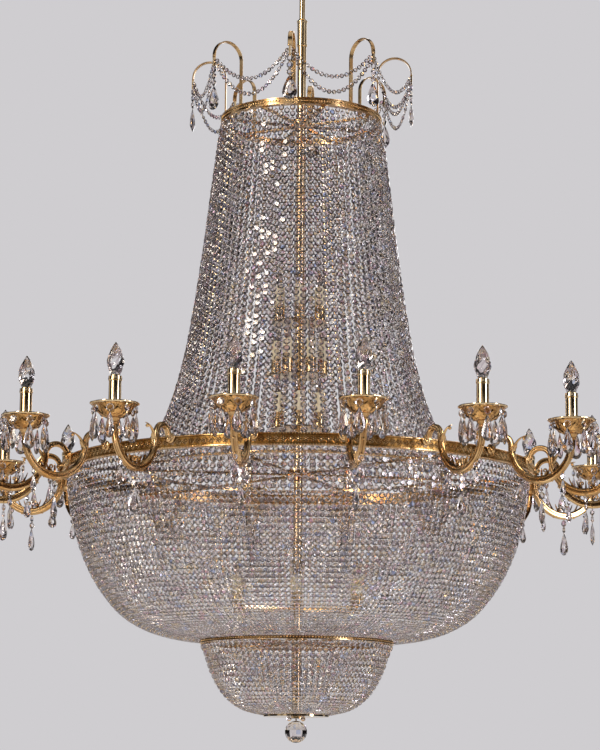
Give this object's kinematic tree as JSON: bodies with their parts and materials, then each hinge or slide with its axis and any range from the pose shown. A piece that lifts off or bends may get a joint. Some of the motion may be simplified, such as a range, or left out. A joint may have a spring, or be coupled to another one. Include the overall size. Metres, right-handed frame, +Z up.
{
  "type": "crystal chandelier",
  "caption": "Large empire style crystal chandelier: a crown of hooked arms, a cone and a bowl of crystal strands, scroll arms with candle lamps round an ornamental ring, and a ball below.",
  "frame": {"origin": "centre of the ceiling plate's top face, in the plane of the ceiling", "axes": "+Z up; -Y towards the picture's camera; +X to the right"},
  "size_m": [1.552, 1.5284, 1.7742],
  "materials": {
    "aged_brass": "polished cast brass with brown shading in its hollows",
    "polished_brass": "polished gold plated brass",
    "cut_crystal": "clear cut lead crystal",
    "bulb_glass": "clear blown glass",
    "ivory_sleeve": "moulded ivory sleeve",
    "lamp_cap_metal": "pressed lamp cap",
    "plated_steel": "zinc plated steel"
  },
  "bodies": {
    "root": {"ceiling_plate": "plated_steel", "suspension_rod": "aged_brass", "column_tube": "aged_brass", "rod_coupler": "aged_brass", "upper_spider": "aged_brass", "main_spider": "aged_brass", "junction_spider": "aged_brass", "top_ring": "aged_brass", "main_ring": "aged_brass", "cone_base_ring": "aged_brass", "junction_ring": "aged_brass", "bottom_disc": "aged_brass", "finial_cap": "aged_brass", "crown_hooks": "aged_brass", "crown_links": "aged_brass", "crown_swags": "cut_crystal", "cone_strands": "cut_crystal", "bowl_strands": "cut_crystal", "lower_strands": "cut_crystal", "candle_arms": "aged_brass", "arm_nuts": "plated_steel", "drip_pans": "polished_brass", "candle_tubes": "polished_brass", "lamp_caps": "lamp_cap_metal", "candle_bulbs": "bulb_glass", "arm_drops": "cut_crystal", "lamp_carriers": "aged_brass", "inner_sleeves": "ivory_sleeve", "inner_bulbs": "bulb_glass"},
    "cover": {"canopy": "aged_brass", "canopy_collar": "aged_brass", "collar_screw": "aged_brass"},
    "crown_drop_1": {"crown_drop_1": "cut_crystal"},
    "crown_drop_2": {"crown_drop_2": "cut_crystal"},
    "crown_drop_3": {"crown_drop_3": "cut_crystal"},
    "crown_drop_4": {"crown_drop_4": "cut_crystal"},
    "crown_drop_5": {"crown_drop_5": "cut_crystal"},
    "crown_drop_6": {"crown_drop_6": "cut_crystal"},
    "crown_drop_7": {"crown_drop_7": "cut_crystal"},
    "crown_drop_8": {"crown_drop_8": "cut_crystal"},
    "arm_string_01": {"arm_string_01": "cut_crystal"},
    "arm_string_02": {"arm_string_02": "cut_crystal"},
    "arm_string_03": {"arm_string_03": "cut_crystal"},
    "arm_string_04": {"arm_string_04": "cut_crystal"},
    "arm_string_05": {"arm_string_05": "cut_crystal"},
    "arm_string_06": {"arm_string_06": "cut_crystal"},
    "arm_string_07": {"arm_string_07": "cut_crystal"},
    "arm_string_08": {"arm_string_08": "cut_crystal"},
    "arm_string_09": {"arm_string_09": "cut_crystal"},
    "arm_string_10": {"arm_string_10": "cut_crystal"},
    "arm_string_11": {"arm_string_11": "cut_crystal"},
    "arm_string_12": {"arm_string_12": "cut_crystal"},
    "arm_string_13": {"arm_string_13": "cut_crystal"},
    "arm_string_14": {"arm_string_14": "cut_crystal"},
    "arm_string_15": {"arm_string_15": "cut_crystal"},
    "arm_string_16": {"arm_string_16": "cut_crystal"},
    "arm_string_17": {"arm_string_17": "cut_crystal"},
    "arm_string_18": {"arm_string_18": "cut_crystal"},
    "ball_hanger": {"ball_link": "aged_brass"},
    "ball": {"crystal_ball": "cut_crystal"}
  },
  "joints": [
    {"name": "cover_slide", "type": "slide", "parent": "root", "child": "cover", "axis": [0, 0, -1], "range_m": [0, 0.055]},
    {"name": "crown_drop_1_swing", "type": "hinge", "parent": "root", "child": "crown_drop_1", "pos_m": [-0.02613, -0.24863, -0.295], "axis": [0.9945, -0.1045, 0], "range_deg": [-20, 20]},
    {"name": "crown_drop_2_swing", "type": "hinge", "parent": "root", "child": "crown_drop_2", "pos_m": [0.15733, -0.19429, -0.295], "axis": [0.7771, 0.6293, 0], "range_deg": [-20, 20]},
    {"name": "crown_drop_3_swing", "type": "hinge", "parent": "root", "child": "crown_drop_3", "pos_m": [0.24863, -0.02613, -0.295], "axis": [0.1045, 0.9945, 0], "range_deg": [-20, 20]},
    {"name": "crown_drop_4_swing", "type": "hinge", "parent": "root", "child": "crown_drop_4", "pos_m": [0.19429, 0.15733, -0.295], "axis": [-0.6293, 0.7771, 0], "range_deg": [-20, 20]},
    {"name": "crown_drop_5_swing", "type": "hinge", "parent": "root", "child": "crown_drop_5", "pos_m": [0.02613, 0.24863, -0.295], "axis": [-0.9945, 0.1045, 0], "range_deg": [-20, 20]},
    {"name": "crown_drop_6_swing", "type": "hinge", "parent": "root", "child": "crown_drop_6", "pos_m": [-0.15733, 0.19429, -0.295], "axis": [-0.7771, -0.6293, 0], "range_deg": [-20, 20]},
    {"name": "crown_drop_7_swing", "type": "hinge", "parent": "root", "child": "crown_drop_7", "pos_m": [-0.24863, 0.02613, -0.295], "axis": [-0.1045, -0.9945, 0], "range_deg": [-20, 20]},
    {"name": "crown_drop_8_swing", "type": "hinge", "parent": "root", "child": "crown_drop_8", "pos_m": [-0.19429, -0.15733, -0.295], "axis": [0.6293, -0.7771, 0], "range_deg": [-20, 20]},
    {"name": "arm_string_01_swing", "type": "hinge", "parent": "root", "child": "arm_string_01", "pos_m": [0.11305, -0.64111, -1.255], "axis": [0.9848, 0.1736, 0], "range_deg": [-15, 15]},
    {"name": "arm_string_02_swing", "type": "hinge", "parent": "root", "child": "arm_string_02", "pos_m": [0.3255, -0.56378, -1.255], "axis": [0.866, 0.5, 0], "range_deg": [-15, 15]},
    {"name": "arm_string_03_swing", "type": "hinge", "parent": "root", "child": "arm_string_03", "pos_m": [0.49869, -0.41846, -1.255], "axis": [0.6428, 0.766, 0], "range_deg": [-15, 15]},
    {"name": "arm_string_04_swing", "type": "hinge", "parent": "root", "child": "arm_string_04", "pos_m": [0.61174, -0.22265, -1.255], "axis": [0.342, 0.9397, 0], "range_deg": [-15, 15]},
    {"name": "arm_string_05_swing", "type": "hinge", "parent": "root", "child": "arm_string_05", "pos_m": [0.651, 0, -1.255], "axis": [0, 1, 0], "range_deg": [-15, 15]},
    {"name": "arm_string_06_swing", "type": "hinge", "parent": "root", "child": "arm_string_06", "pos_m": [0.61174, 0.22265, -1.255], "axis": [-0.342, 0.9397, 0], "range_deg": [-15, 15]},
    {"name": "arm_string_07_swing", "type": "hinge", "parent": "root", "child": "arm_string_07", "pos_m": [0.49869, 0.41846, -1.255], "axis": [-0.6428, 0.766, 0], "range_deg": [-15, 15]},
    {"name": "arm_string_08_swing", "type": "hinge", "parent": "root", "child": "arm_string_08", "pos_m": [0.3255, 0.56378, -1.255], "axis": [-0.866, 0.5, 0], "range_deg": [-15, 15]},
    {"name": "arm_string_09_swing", "type": "hinge", "parent": "root", "child": "arm_string_09", "pos_m": [0.11305, 0.64111, -1.255], "axis": [-0.9848, 0.1736, 0], "range_deg": [-15, 15]},
    {"name": "arm_string_10_swing", "type": "hinge", "parent": "root", "child": "arm_string_10", "pos_m": [-0.11305, 0.64111, -1.255], "axis": [-0.9848, -0.1736, 0], "range_deg": [-15, 15]},
    {"name": "arm_string_11_swing", "type": "hinge", "parent": "root", "child": "arm_string_11", "pos_m": [-0.3255, 0.56378, -1.255], "axis": [-0.866, -0.5, 0], "range_deg": [-15, 15]},
    {"name": "arm_string_12_swing", "type": "hinge", "parent": "root", "child": "arm_string_12", "pos_m": [-0.49869, 0.41846, -1.255], "axis": [-0.6428, -0.766, 0], "range_deg": [-15, 15]},
    {"name": "arm_string_13_swing", "type": "hinge", "parent": "root", "child": "arm_string_13", "pos_m": [-0.61174, 0.22265, -1.255], "axis": [-0.342, -0.9397, 0], "range_deg": [-15, 15]},
    {"name": "arm_string_14_swing", "type": "hinge", "parent": "root", "child": "arm_string_14", "pos_m": [-0.651, 0, -1.255], "axis": [0, -1, 0], "range_deg": [-15, 15]},
    {"name": "arm_string_15_swing", "type": "hinge", "parent": "root", "child": "arm_string_15", "pos_m": [-0.61174, -0.22265, -1.255], "axis": [0.342, -0.9397, 0], "range_deg": [-15, 15]},
    {"name": "arm_string_16_swing", "type": "hinge", "parent": "root", "child": "arm_string_16", "pos_m": [-0.49869, -0.41846, -1.255], "axis": [0.6428, -0.766, 0], "range_deg": [-15, 15]},
    {"name": "arm_string_17_swing", "type": "hinge", "parent": "root", "child": "arm_string_17", "pos_m": [-0.3255, -0.56378, -1.255], "axis": [0.866, -0.5, 0], "range_deg": [-15, 15]},
    {"name": "arm_string_18_swing", "type": "hinge", "parent": "root", "child": "arm_string_18", "pos_m": [-0.11305, -0.64111, -1.255], "axis": [0.9848, -0.1736, 0], "range_deg": [-15, 15]},
    {"name": "ball_swing_side", "type": "hinge", "parent": "root", "child": "ball_hanger", "pos_m": [0, 0, -1.722], "axis": [0, 1, 0], "range_deg": [-10, 10]},
    {"name": "ball_swing_front", "type": "hinge", "parent": "ball_hanger", "child": "ball", "pos_m": [0, 0, -1.7259], "axis": [1, 0, 0], "range_deg": [-10, 10]}
  ]
}
